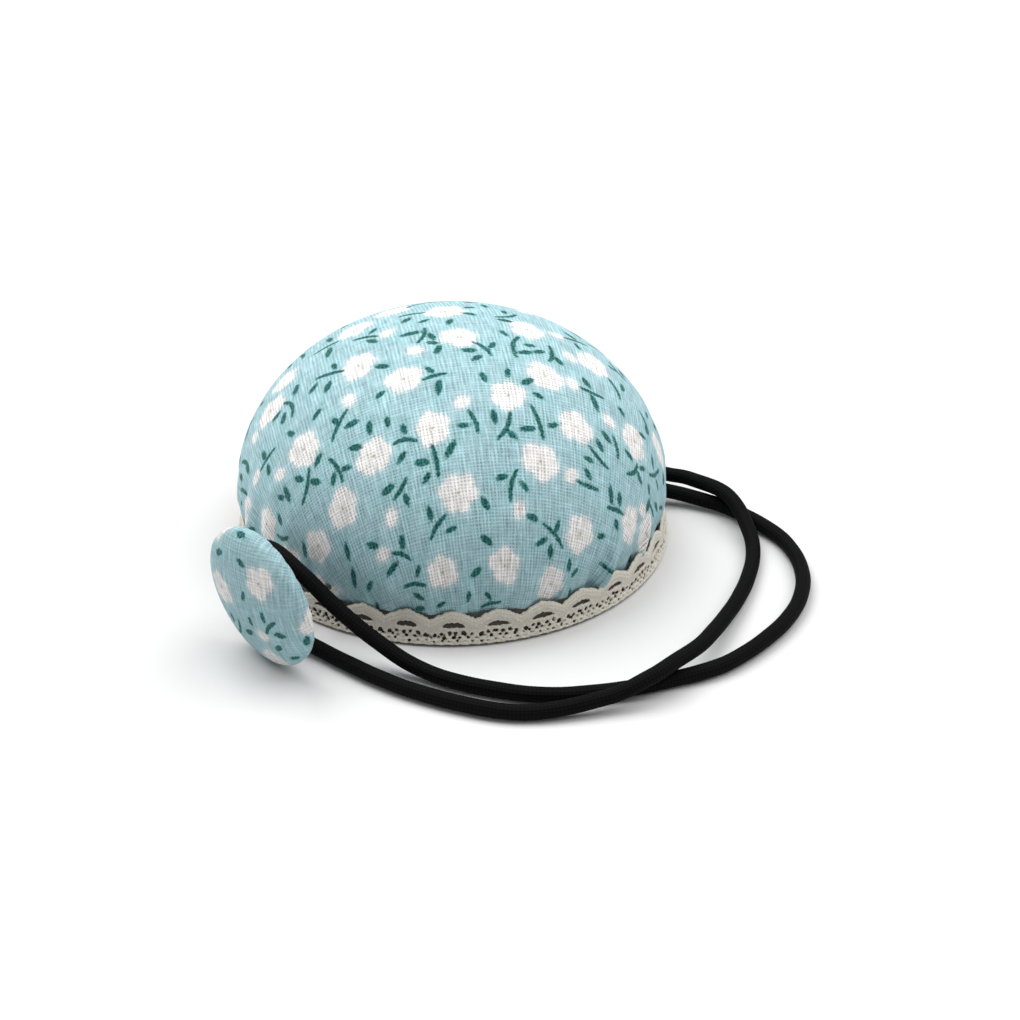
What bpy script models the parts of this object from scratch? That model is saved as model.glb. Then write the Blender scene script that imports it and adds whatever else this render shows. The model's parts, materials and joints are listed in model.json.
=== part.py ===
"""Wrist pin cushion: a stuffed fabric dome on a board, with lace, an elastic loop and a button.

Metres, +Z up. The origin is the centre of the flat underside, which rests on z = 0.
The button stands at the front left and the elastic leaves the rim at the right.
"""
import math

import bmesh
import bpy
from mathutils import Matrix, Vector

MM = 0.001
GAP = 0.3 * MM  # running gap between neighbouring solids
MERGE = 0.00001

# Dome
COVER_RADIUS = 37.2 * MM
COVER_HEIGHT = 39.3 * MM
COVER_WIDEST = 9.5 * MM  # height of the widest ring
COVER_THICKNESS = 0.5 * MM
COVER_BOTTOM = 0.9 * MM
MOUTH_RADIUS = 22 * MM  # gathered opening under the board
DOME_STEPS = 44

# Base
PAD_RADIUS = 37.0 * MM
PAD_THICKNESS = 0.6 * MM
BOARD_RADIUS = 33.2 * MM
BOARD_BOTTOM = 1.7 * MM
BOARD_TOP = 5.0 * MM
BAND_RADIUS = 37.0 * MM
BAND_THICKNESS = 0.25 * MM
BAND_BOTTOM = 0.9 * MM
BAND_TOP = 5.2 * MM

# Lace band
LACE_RADIUS = 37.9 * MM
LACE_THICKNESS = 0.6 * MM
LACE_BOTTOM = 0.3 * MM
LACE_VALLEY = 4.7 * MM
LACE_PEAK = 6.35 * MM
SCALLOPS = 31
POINTS_PER_SCALLOP = 6

# Elastic and its channel in the board
CORD_DIAMETER = 2.6 * MM
CHANNEL_ANGLE = math.radians(-20)
CHANNEL_MIDDLE = Vector((35.6, 12.45, 0)) * MM
CHANNEL_WIDTH = 10.4 * MM
CHANNEL_DEPTH = 13.5 * MM
CHANNEL_TOP = 4.4 * MM
CORD_STEP = 5.4 * MM

# Button
BUTTON_CENTRE = Vector((-29.4, -42.0, 12.5)) * MM
BUTTON_AZIMUTH = math.radians(221.7)
BUTTON_TILT = math.radians(-7)
BUTTON_RADIUS = 12.1 * MM
BUTTON_CROWN = 3.6 * MM
BUTTON_CLOTH = 0.45 * MM
SHELL_THICKNESS = 0.5 * MM
BUTTON_STEPS = 32

# Wire shank and thread
WIRE_DIAMETER = 0.8 * MM
WIRE_BEND = 1.7 * MM
WIRE_BEND_DEPTH = 3.7 * MM
NOD_DEPTH = 4.35 * MM  # thread crossing behind the button's rim plane
THREAD_DIAMETER = 0.7 * MM
ANCHOR_AZIMUTH = math.radians(238)
ANCHOR_HEIGHT = 7.8 * MM
THREAD_START = 38.9 * MM

# Route of the elastic from one end in the channel, round the shank, to the other end (mm)
CORD_ROUTE = (
    (26, 19, 2.9), (34.5, 16, 2.9), (38.6, 14.3, 2.8), (42.5, 11.5, 3.4), (48.5, 4, 4.4), (51.5, -4.5, 2.4),
    (51.5, -13, 1.4), (48, -25.5, 1.7), (41.5, -40, 3.1), (36.5, -47.5, 4.3), (32, -52, 4.1),
    (25.5, -55, 2.5), (14.5, -57.5, 1.4), (5.5, -56.5, 1.4), (-7.5, -50.5, 1.4), (-20.5, -40.5, 1.5),
    (-27.5, -34.5, 2.5), (-31.8, -30.5, 6), (-33, -29.4, 10), (-31.8, -30.3, 14), (-28.2, -33.4, 16.1),
    (-23.5, -37.5, 14.4), (-17, -40.8, 9), (-10.5, -43.5, 4.5), (-4.5, -46.5, 2), (3, -50, 1.4),
    (14.5, -53, 1.4), (25.5, -52, 1.4), (35, -49, 1.4), (45.5, -43.5, 1.4), (55.5, -31.5, 1.4),
    (59.5, -19, 1.4), (57.5, -6.5, 1.4), (50, 3.5, 1.4), (42, 8, 1.9), (34, 10, 2.8), (25, 13, 2.9),
)


def clear_scene():
    for obj in list(bpy.data.objects):
        bpy.data.objects.remove(obj, do_unlink=True)


def new_collection(name):
    collection = bpy.data.collections.new(name)
    bpy.context.scene.collection.children.link(collection)
    return collection


def material(name, color, roughness, metallic=0.0):
    mat = bpy.data.materials.new(name)
    mat.use_nodes = True
    shader = mat.node_tree.nodes["Principled BSDF"]
    shader.inputs["Base Color"].default_value = (*color, 1)
    shader.inputs["Roughness"].default_value = roughness
    shader.inputs["Metallic"].default_value = metallic
    return mat


def add_object(name, data, collection, mat=None, parent=None, location=(0, 0, 0)):
    obj = bpy.data.objects.new(name, data)
    collection.objects.link(obj)
    if mat is not None:
        data.materials.append(mat)
    obj.parent = parent
    obj.location = location
    return obj


def profile_mesh(name, points, closed=False):
    """Edges through (radius, height) points, ready for a Screw modifier."""
    mesh = bpy.data.meshes.new(name)
    count = len(points)
    edges = [(i, i + 1) for i in range(count - 1)]
    if closed:
        edges.append((count - 1, 0))
    mesh.from_pydata([(r, 0, z) for r, z in points], edges, [])
    return mesh


def turned(name, points, steps, collection, mat, closed=False, thickness=0, parent=None):
    """A turned piece; the profile runs down its outer side."""
    obj = add_object(name, profile_mesh(name, points, closed), collection, mat, parent)
    screw = obj.modifiers.new("turn", "SCREW")
    screw.axis = "Z"
    screw.steps = steps
    screw.render_steps = steps
    screw.use_merge_vertices = True
    screw.merge_threshold = MERGE
    screw.use_smooth_shade = True
    if thickness:
        solidify = obj.modifiers.new("thickness", "SOLIDIFY")
        solidify.thickness = thickness
        solidify.offset = -1
        solidify.use_even_offset = True
    return obj


def smooth_points(route, step):
    """Points at equal spacing along a smooth curve through the route's points."""
    knots = [Vector(p) for p in route]
    knots = [knots[0] * 2 - knots[1], *knots, knots[-1] * 2 - knots[-2]]
    fine = []
    for before, start, end, after in zip(knots, knots[1:], knots[2:], knots[3:]):
        for k in range(20):
            t = k / 20
            fine.append(0.5 * (
                2 * start + (end - before) * t
                + (2 * before - 5 * start + 4 * end - after) * t ** 2
                + (3 * start - before - 3 * end + after) * t ** 3))
    fine.append(knots[-2])
    travel = [0.0]
    for a, b in zip(fine, fine[1:]):
        travel.append(travel[-1] + (b - a).length)
    count = max(2, round(travel[-1] / step))
    points = []
    index = 0
    for i in range(count + 1):
        target = travel[-1] * i / count
        while index < len(travel) - 2 and travel[index + 1] < target:
            index += 1
        share = (target - travel[index]) / (travel[index + 1] - travel[index])
        points.append(fine[index].lerp(fine[index + 1], share))
    return points


def tube(name, points, diameter, collection, mat, parent=None, location=(0, 0, 0)):
    curve = bpy.data.curves.new(name, "CURVE")
    curve.dimensions = "3D"
    curve.bevel_depth = diameter / 2
    curve.bevel_resolution = 2
    curve.use_fill_caps = True
    curve.render_resolution_u = 0
    spline = curve.splines.new("POLY")
    spline.points.add(len(points) - 1)
    for spline_point, place in zip(spline.points, points):
        spline_point.co = (*place, 1)
    spline.use_smooth = True
    return add_object(name, curve, collection, mat, parent, location)


def cut(obj, cutter):
    boolean = obj.modifiers.new("cut", "BOOLEAN")
    boolean.operation = "DIFFERENCE"
    boolean.solver = "EXACT"
    boolean.object = cutter


def shade_by_angle(obj, degrees=35):
    obj.data.shade_smooth()
    obj.data.set_sharp_from_angle(angle=math.radians(degrees))


def dome_profile(inset, count, bottom_points):
    """Half an ellipse from the crown to the widest ring, then the given tucked-in points."""
    radius = COVER_RADIUS - inset
    rise = COVER_HEIGHT - COVER_WIDEST - inset
    points = []
    for i in range(count + 1):
        angle = math.pi / 2 * (1 - i / count)
        r = radius * math.cos(angle) if i else 0.0
        points.append((r, COVER_WIDEST + rise * math.sin(angle)))
    return points + [(r * MM, z * MM) for r, z in bottom_points]


def fabric_cover(collection, mat, channel):
    tuck = ((36.9, 7.4), (36.5, 6.0), (36.0, 4.5), (35.4, 3.0), (34.7, 1.8), (33.7, 1.1))
    points = dome_profile(0, 11, tuck)
    points += [(32.4 * MM, COVER_BOTTOM), (MOUTH_RADIUS, COVER_BOTTOM)]
    cover = turned("fabric_cover", points, DOME_STEPS, collection, mat, thickness=COVER_THICKNESS)
    cut(cover, channel)


def fiber_stuffing(collection, mat):
    floor = BOARD_TOP + GAP
    points = dome_profile(COVER_THICKNESS + GAP, 9, ((36.0, 7.4), (35.4, 5.9)))
    points += [(34.9 * MM, floor), (0, floor)]
    turned("fiber_stuffing", points, 32, collection, mat)


def gathering_thread(collection, mat):
    """The draw thread that closes the mouth of the cover."""
    thickness = 0.25 * MM
    ring_radius = MOUTH_RADIUS - GAP - thickness
    middle = COVER_BOTTOM + COVER_THICKNESS / 2
    sides = 6
    points = []
    for i in range(sides):
        angle = -2 * math.pi * i / sides
        points.append((ring_radius + thickness * math.cos(angle), middle + thickness * math.sin(angle)))
    turned("gathering_thread", points, DOME_STEPS, collection, mat, closed=True)


def disc(name, radius, bottom, top, sides, collection, mat):
    mesh = bpy.data.meshes.new(name)
    bm = bmesh.new()
    bmesh.ops.create_cone(bm, cap_ends=True, segments=sides, radius1=radius, radius2=radius,
                          depth=top - bottom)
    bmesh.ops.translate(bm, verts=bm.verts, vec=(0, 0, (top + bottom) / 2))
    bm.to_mesh(mesh)
    bm.free()
    obj = add_object(name, mesh, collection, mat)
    shade_by_angle(obj)
    return obj


def box(name, size, middle, turn, collection, mat=None):
    mesh = bpy.data.meshes.new(name)
    bm = bmesh.new()
    bmesh.ops.create_cube(bm, size=1)
    bmesh.ops.scale(bm, verts=bm.verts, vec=size)
    bm.to_mesh(mesh)
    bm.free()
    obj = add_object(name, mesh, collection, mat, location=middle)
    obj.rotation_euler = (0, 0, turn)
    return obj


def channel_cutter(collection):
    """The space that both ends of the elastic need, from inside the board out past the lace."""
    outward = Vector((math.cos(CHANNEL_ANGLE), math.sin(CHANNEL_ANGLE), 0))
    outside = 6 * MM
    length = CHANNEL_DEPTH + outside
    middle = CHANNEL_MIDDLE + outward * (outside - CHANNEL_DEPTH) / 2
    floor = -1 * MM
    middle.z = (CHANNEL_TOP + floor) / 2
    cutter = box("channel_cutter", (length, CHANNEL_WIDTH, CHANNEL_TOP - floor), middle,
                 CHANNEL_ANGLE, collection)
    cutter.display_type = "WIRE"
    cutter.hide_render = True
    return cutter


def strap_tape(collection, mat):
    """The strip that holds both ends of the elastic up in the channel."""
    outward = Vector((math.cos(CHANNEL_ANGLE), math.sin(CHANNEL_ANGLE), 0))
    length = 9 * MM
    middle = CHANNEL_MIDDLE - outward * (CHANNEL_DEPTH - length / 2 - GAP)
    middle.z = 1.1 * MM
    box("strap_tape", (length, CHANNEL_WIDTH - 2 * GAP, GAP), middle, CHANNEL_ANGLE, collection, mat)


def rim_band(collection, mat, channel):
    """A dark strip round the cover's foot, which the lace is sewn to."""
    inner = BAND_RADIUS - BAND_THICKNESS
    points = ((BAND_RADIUS, BAND_TOP), (BAND_RADIUS, BAND_BOTTOM), (inner, BAND_BOTTOM), (inner, BAND_TOP))
    band = turned("rim_band", points, DOME_STEPS * 2, collection, mat, closed=True)
    cut(band, channel)


def lace_trim(collection, mat, channel):
    """A scalloped band round the foot of the dome."""
    mesh = bpy.data.meshes.new("lace_trim")
    bm = bmesh.new()
    columns = SCALLOPS * POINTS_PER_SCALLOP
    middle = (LACE_BOTTOM + LACE_VALLEY) / 2
    rings = []
    for i in range(columns):
        angle = 2 * math.pi * i / columns
        swell = abs(math.sin(math.pi * i / POINTS_PER_SCALLOP)) ** 0.7
        top = LACE_VALLEY + (LACE_PEAK - LACE_VALLEY) * swell
        x = LACE_RADIUS * math.cos(angle)
        y = LACE_RADIUS * math.sin(angle)
        rings.append([bm.verts.new((x, y, z)) for z in (LACE_BOTTOM, middle, top)])
    for left, right in zip(rings, rings[1:] + rings[:1]):
        for low, high in ((0, 1), (1, 2)):
            bm.faces.new((left[low], right[low], right[high], left[high]))
    bm.to_mesh(mesh)
    bm.free()
    obj = add_object("lace_trim", mesh, collection, mat)
    solidify = obj.modifiers.new("thickness", "SOLIDIFY")
    solidify.thickness = LACE_THICKNESS
    solidify.offset = -1
    cut(obj, channel)
    shade_by_angle(obj)


def elastic_strap(collection, mat):
    points = [p * MM for p in smooth_points(CORD_ROUTE, CORD_STEP / MM)]
    for point in points:  # the curve may dip between its points, but the elastic lies on the surface
        point.z = max(point.z, CORD_DIAMETER / 2)
    tube("elastic_strap", points, CORD_DIAMETER, collection, mat)


def button_frame(collection):
    """An empty at the button's rim plane: local Z out of its face, local X level."""
    face = Vector((
        math.cos(BUTTON_TILT) * math.cos(BUTTON_AZIMUTH),
        math.cos(BUTTON_TILT) * math.sin(BUTTON_AZIMUTH),
        math.sin(BUTTON_TILT)))
    level = Vector((-face.y, face.x, 0)).normalized()
    upright = face.cross(level)
    frame = bpy.data.objects.new("button_frame", None)
    collection.objects.link(frame)
    turn = Matrix((level, upright, face)).transposed()
    frame.matrix_world = Matrix.Translation(BUTTON_CENTRE) @ turn.to_4x4()
    return frame


def crown_profile(radius, crown, count=7):
    """From the middle of a domed face out to its rim plane."""
    points = []
    for i in range(count + 1):
        angle = math.pi / 2 * (1 - i / count)
        r = radius * math.cos(angle) ** 0.85 if i else 0.0
        points.append((r, crown * math.sin(angle)))
    return points


def button_cloth(collection, mat, frame):
    points = crown_profile(BUTTON_RADIUS, BUTTON_CROWN)
    points += [(11.95 * MM, -0.9 * MM), (11.5 * MM, -1.6 * MM), (10.9 * MM, -1.9 * MM)]
    points.append((9.6 * MM, -1.9 * MM))
    turned("button_fabric", points, BUTTON_STEPS, collection, mat, thickness=BUTTON_CLOTH,
           parent=frame)


def button_shell(collection, mat, frame):
    inset = BUTTON_CLOTH + GAP
    points = crown_profile(BUTTON_RADIUS - inset, BUTTON_CROWN - inset)
    points.append((11.25 * MM, -0.9 * MM))
    turned("button_shell", points, BUTTON_STEPS, collection, mat, thickness=SHELL_THICKNESS,
           parent=frame)


def button_backplate(collection, mat, frame):
    outer = 10.4 * MM
    hole = 2.9 * MM
    top = -0.6 * MM
    bottom = -1.1 * MM
    points = ((outer, top), (outer, bottom), (hole, bottom), (hole, top))
    obj = turned("button_backplate", points, BUTTON_STEPS, collection, mat, closed=True, parent=frame)
    shade_by_angle(obj)


def wire_shank(collection, mat, frame):
    """A bent wire: two feet behind the plate, two legs and a round eye; its origin is the eye."""
    foot_reach = 3.7 * MM
    foot_height = 0.15 * MM
    side = [(0, foot_reach, foot_height), (0, 2.5 * MM, foot_height), (0, 1.9 * MM, -0.2 * MM)]
    side.append((0, WIRE_BEND, -1.2 * MM))
    side.append((0, WIRE_BEND, -WIRE_BEND_DEPTH))
    bend = []
    bend_points = 8
    for i in range(1, bend_points):
        angle = math.pi * i / bend_points
        bend.append((0, WIRE_BEND * math.cos(angle), -WIRE_BEND_DEPTH - WIRE_BEND * math.sin(angle)))
    other = [(x, -y, z) for x, y, z in reversed(side)]
    eye = Vector((0, 0, -NOD_DEPTH))
    points = [Vector(p) - eye for p in side + bend + other]
    tube("wire_shank", points, WIRE_DIAMETER, collection, mat, parent=frame, location=eye)


def anchor_point():
    return Vector((
        THREAD_START * math.cos(ANCHOR_AZIMUTH), THREAD_START * math.sin(ANCHOR_AZIMUTH),
        ANCHOR_HEIGHT))


def button_thread(collection, mat, frame):
    """A doubled thread from the cushion through the wire eye; its origin is the swing axis."""
    anchor = anchor_point()
    level = frame.matrix_world.to_3x3() @ Vector((1, 0, 0))
    eye = frame.matrix_world @ Vector((0, 0, -NOD_DEPTH))
    back = (anchor - eye).normalized()
    wide = 1.25 * MM
    narrow = 0.65 * MM
    leg = [anchor + level * narrow, anchor.lerp(eye, 0.5) + level * (wide + narrow) / 2]
    leg.append(eye + level * wide + back * 1.3 * MM)
    leg.append(eye + level * wide + back * 0.5 * MM)
    leg.append(eye + level * 0.95 * MM + back * 0.05 * MM)
    other = [p - 2 * level * (p - eye).dot(level) + 2 * level * (anchor - eye).dot(level) * share
             for p, share in zip(reversed(leg), (0, 0, 0, 0.5, 1))]
    route = [(p - anchor) / MM for p in leg + [eye] + other]
    points = [p * MM for p in smooth_points(route, 0.6)]
    tube("button_thread", points, THREAD_DIAMETER, collection, mat, location=anchor)


def anchor_stitches(collection, mat):
    """The flat patch of stitches where the button's thread leaves the cushion."""
    width = 1.1 * MM
    depth = 0.4 * MM
    mesh = bpy.data.meshes.new("anchor_stitches")
    bm = bmesh.new()
    bmesh.ops.create_uvsphere(bm, u_segments=16, v_segments=8, radius=1)
    bmesh.ops.scale(bm, verts=bm.verts, vec=(depth, width, width))
    bm.to_mesh(mesh)
    bm.free()
    radius = COVER_RADIUS + GAP + depth
    place = (radius * math.cos(ANCHOR_AZIMUTH), radius * math.sin(ANCHOR_AZIMUTH), ANCHOR_HEIGHT)
    obj = add_object("anchor_stitches", mesh, collection, mat, location=place)
    obj.rotation_euler = (0, 0, ANCHOR_AZIMUTH)
    shade_by_angle(obj)


def build():
    clear_scene()
    parts = new_collection("wrist_pin_cushion")
    cutters = new_collection("cutters")
    print_cotton = material("printed_cotton", (0.45, 0.64, 0.68), 0.9)
    lace_cotton = material("lace_cotton", (0.78, 0.72, 0.60), 0.9)
    black_elastic = material("black_elastic", (0.012, 0.012, 0.013), 0.75)
    polyester = material("polyester_fibre", (0.88, 0.88, 0.87), 0.95)
    card = material("grey_board", (0.42, 0.40, 0.36), 0.85)
    felt = material("dark_felt", (0.05, 0.05, 0.055), 0.95)
    thread = material("dark_thread", (0.06, 0.07, 0.08), 0.7)
    pale_thread = material("pale_thread", (0.80, 0.79, 0.75), 0.7)
    tape = material("cloth_tape", (0.70, 0.67, 0.60), 0.8)
    metal = material("aluminium", (0.80, 0.80, 0.81), 0.35, 1.0)
    steel = material("steel_wire", (0.62, 0.62, 0.63), 0.3, 1.0)

    channel = channel_cutter(cutters)
    disc("base_pad", PAD_RADIUS, 0, PAD_THICKNESS, 64, parts, felt)
    board = disc("base_board", BOARD_RADIUS, BOARD_BOTTOM, BOARD_TOP, 48, parts, card)
    cut(board, channel)
    fabric_cover(parts, print_cotton, channel)
    fiber_stuffing(parts, polyester)
    gathering_thread(parts, pale_thread)
    rim_band(parts, felt, channel)
    lace_trim(parts, lace_cotton, channel)
    elastic_strap(parts, black_elastic)
    strap_tape(parts, tape)
    anchor_stitches(parts, thread)

    frame = button_frame(parts)
    bpy.context.view_layer.update()
    button_thread(parts, thread, frame)
    wire_shank(parts, steel, frame)
    button_backplate(parts, metal, frame)
    button_shell(parts, metal, frame)
    button_cloth(parts, print_cotton, frame)


build()
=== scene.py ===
"""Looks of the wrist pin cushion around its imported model. Metres, +Z up, unless a name says mm.

The cover is a printed cotton cloth, tightened over the dome by a cloth simulation. The print is worked
out in millimetres on the flat cloth, whose middle is the crown, with u to the right and v to the back.
"""
import json
import math

import bmesh
import bpy
import numpy as np
from mathutils import Matrix, Vector


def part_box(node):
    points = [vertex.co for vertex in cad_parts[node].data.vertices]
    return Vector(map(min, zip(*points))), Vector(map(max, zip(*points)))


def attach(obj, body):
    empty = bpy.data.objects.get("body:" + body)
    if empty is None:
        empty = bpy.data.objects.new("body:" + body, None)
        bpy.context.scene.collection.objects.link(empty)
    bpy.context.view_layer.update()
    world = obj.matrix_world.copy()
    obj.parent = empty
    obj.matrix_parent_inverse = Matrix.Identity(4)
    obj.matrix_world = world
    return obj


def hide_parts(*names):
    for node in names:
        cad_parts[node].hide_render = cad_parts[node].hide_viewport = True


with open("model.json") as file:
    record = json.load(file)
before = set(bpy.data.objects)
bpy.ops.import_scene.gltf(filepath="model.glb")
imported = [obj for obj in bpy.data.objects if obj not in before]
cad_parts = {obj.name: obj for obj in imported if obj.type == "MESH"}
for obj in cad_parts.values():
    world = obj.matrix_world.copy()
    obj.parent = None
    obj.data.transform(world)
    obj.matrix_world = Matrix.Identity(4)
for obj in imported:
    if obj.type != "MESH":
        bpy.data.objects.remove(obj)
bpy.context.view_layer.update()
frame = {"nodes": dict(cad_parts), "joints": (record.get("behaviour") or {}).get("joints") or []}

MM = 0.001
SEED = 11
JOINTS = {joint["name"]: joint for joint in frame["joints"]}

# Camera
CAMERA_TARGET = Vector((10.0, 0.0, 3.7)) * MM
CAMERA_ELEVATION = math.radians(30.5)
CAMERA_DISTANCE = 410 * MM
CAMERA_LENS = 82.5

# Dome, as the CAD cover has it
COVER_LOW, COVER_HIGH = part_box("fabric_cover")
COVER_RADIUS = COVER_HIGH.x / MM
COVER_HEIGHT = COVER_HIGH.z / MM
COVER_WIDEST = 9.5  # mm, height of the widest ring
TUCK = ((36.95, 8.2), (36.6, 6.6), (36.1, 4.9), (35.4, 3.2), (34.6, 1.9), (33.6, 1.15), (32.4, 0.9))
MOUTH = (22.0, 0.9)  # mm, radius and height of the gathered mouth under the board
COVER_CELLS = 312
FOOT_ARC = 57  # mm of cloth from the crown to the lace's upper edge
SEEN_ARC = 59.0  # and to where the lace hides it
SEEN_SHARE = 0.955  # of the grid's rings, that it takes
SIM_CELLS = 96
SIM_SCALE = 8  # the cloth simulation runs on a dome this many times as large
SIM_FRAMES = 20
PLEATS = (  # azimuth, width in degrees, depth in mm, where it starts, lean
    (313, 3.2, 1.1, 41, 0.55), (300, 2.4, 0.45, 48, 0.3), (204, 3.0, 0.9, 42, -0.2), (212, 2.2, 0.5, 47, 0.1),
    (331, 2.6, 0.6, 46, 0.4), (15, 3.0, 0.7, 45, -0.3), (62, 2.6, 0.6, 46, 0.3), (101, 3.2, 0.8, 44, -0.4),
    (140, 2.8, 0.7, 45, 0.3), (171, 2.6, 0.6, 46, -0.3),
)

# Elastic: its channel and its route from one end in the channel, round the shank, to the other end (mm)
CHANNEL_ANGLE = math.radians(-20)
CHANNEL_MIDDLE = (35.6, 12.45)
CHANNEL_WIDTH = 10.4
STRAP_DIAMETER = 2.6 * MM
BRAID_PAIRS = 8  # carriers of the jacket's braid each way round
BRAID_TURN = 5.2  # radians that its pattern advances in a mm
CORD_ROUTE = (
    (26, 19, 2.9), (34.5, 16, 2.9), (38.6, 14.3, 2.8), (42.5, 11.5, 3.4), (48.5, 4, 4.4), (51.5, -4.5, 2.4),
    (51.5, -13, 1.4), (48, -25.5, 1.7), (41.5, -40, 3.1), (36.5, -47.5, 4.3), (32, -52, 4.1),
    (25.5, -55, 2.5), (14.5, -57.5, 1.4), (5.5, -56.5, 1.4), (-7.5, -50.5, 1.4), (-20.5, -40.5, 1.5),
    (-27.5, -34.5, 2.5), (-31.8, -30.5, 6), (-33, -29.4, 10), (-31.8, -30.3, 14), (-28.2, -33.4, 16.1),
    (-23.5, -37.5, 14.4), (-17, -40.8, 9), (-10.5, -43.5, 4.5), (-4.5, -46.5, 2), (3, -50, 1.4),
    (14.5, -53, 1.4), (25.5, -52, 1.4), (35, -49, 1.4), (45.5, -43.5, 1.4), (55.5, -31.5, 1.4),
    (59.5, -19, 1.4), (57.5, -6.5, 1.4), (50, 3.5, 1.4), (42, 8, 1.9), (34, 10, 2.8), (25, 13, 2.9),
)

# Weave of the cover's cloth
THREAD_PITCH = 0.56  # mm between the weft's threads
WARP_WIDER = 1.16  # how much wider apart the warp's threads are
THREADS_LEAN = 0.17  # how far the threads lean from the u and v directions

# Print, as places on the flat cloth in mm. A leaf also has its heading, a stem its heading, length and bend.
FLOWER_SIZE = 3.15
FLOWERS = (
    (-17, 6.5), (-34, -6), (-31, 1), (-15.5, -8), (-1, 7.5), (1.5, -3.5), (13, 3), (25.5, 0.5),
    (-7.5, -14), (16.3, -10.3), (35.5, -13), (10, -17), (22.5, -19), (-26.5, -21.5), (-2.5, -24.5),
    (-13, -28), (16.5, -28), (-40, -28), (-20, -35), (2, -35.5), (-27.5, -39), (39.5, -28.5),
    (27, -37), (-1, -48.5), (12, -46.5), (24, -47.5), (-10.5, 12), (44, -5), (-37, -38), (-47, -19),
    (-33, -46), (46.5, -25),
)
BUDS = (
    (-5.7, -7), (2.3, -19.5), (-17, -15.8), (-32.7, -22.7), (-13, -44.3), (-10.5, -38.7), (21.3, -9.6),
    (29, -13.5), (22.7, -28.3), (13.5, -37), (20.8, -1.7), (18.5, 5.2), (-10.8, 0.3), (-39, -8),
    (-28, -47.5), (-39.5, -18), (-9, 14), (-44, -20), (42, -23.5),
)
STEMS = (
    (-20.8, -7.3, -14, 5.4, 0.1), (-19, -20.2, 59, 5.8, 0.2), (-7.3, -26.6, 0, 3.8, 0.45),
    (-29.5, -10.1, -70, 5.4, 0.9), (-2.4, -14, 18, 3.8, 0.15), (-27.2, -28.2, 62, 6, -0.5),
    (-20.3, -28.2, -66, 5.2, 0.4), (5.4, -6.4, -47, 4.4, 0.4), (11.4, -4.2, 88, 6.6, 0.8),
    (17, -3.4, -90, 5, 0.5), (25.2, -9.2, 9, 4.6, -0.1), (15.3, -21, -66, 6.4, 0.3),
    (9.5, -23.2, 70, 5.6, -0.6), (4.3, -23.1, -66, 4.2, 0.3), (27.8, -22.3, -22, 5, -0.3),
    (26.3, -28.4, 7, 4.8, -0.2), (-8.5, -34.3, 52, 3.8, -0.2), (-2.1, -30.2, -78, 5.4, 0.2),
    (-1.7, -41, 52, 4.6, 0.3), (-9.3, -45.2, -24, 3.8, 0.3), (-7.3, -50.7, 2, 5, 0.4),
    (12, -33.2, 83, 5.4, 0.5), (21.2, -39.3, -26, 5.6, 0.3), (10.5, -54.3, 25, 4.6, 0.3),
    (-35.5, -17.3, 15, 4.6, 0.1), (-36.3, -32.8, -35, 4.4, -0.5), (31.1, -18, -64, 4, 0.3),
    (36, -19.1, 60, 4.4, -0.6), (42.9, -13, 58, 6, -0.6), (34, -29.2, 17, 4.6, 0.2),
    (45.3, -20.2, 10, 4.2, 0.2), (38, -38.3, 13, 5.6, -0.3), (-22.2, 3.5, 4, 4.6, 0.2),
    (-14.6, 0.6, -16, 4.4, 0.2), (-6.8, 7, 5, 4.4, 0.2), (-4.8, -2.4, 78, 4.8, -0.4),
    (9.4, 8, 48, 5.2, -0.7), (22.2, 6.8, 28, 5, 0.2), (30, -3.3, -55, 4.6, 0.4), (38, -4.3, -50, 4.4, 0.4),
    (-43.3, -10.6, -64, 6, 0.4), (-6.5, 14.5, 50, 4.6, 0.4), (-28, 8, -75, 4.8, 0.3),
    (-46.6, -14.5, -62, 6.4, 0.4), (-46, -29, 40, 4.6, 0.3), (51, -14, 60, 4.6, 0.4),
)
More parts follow.
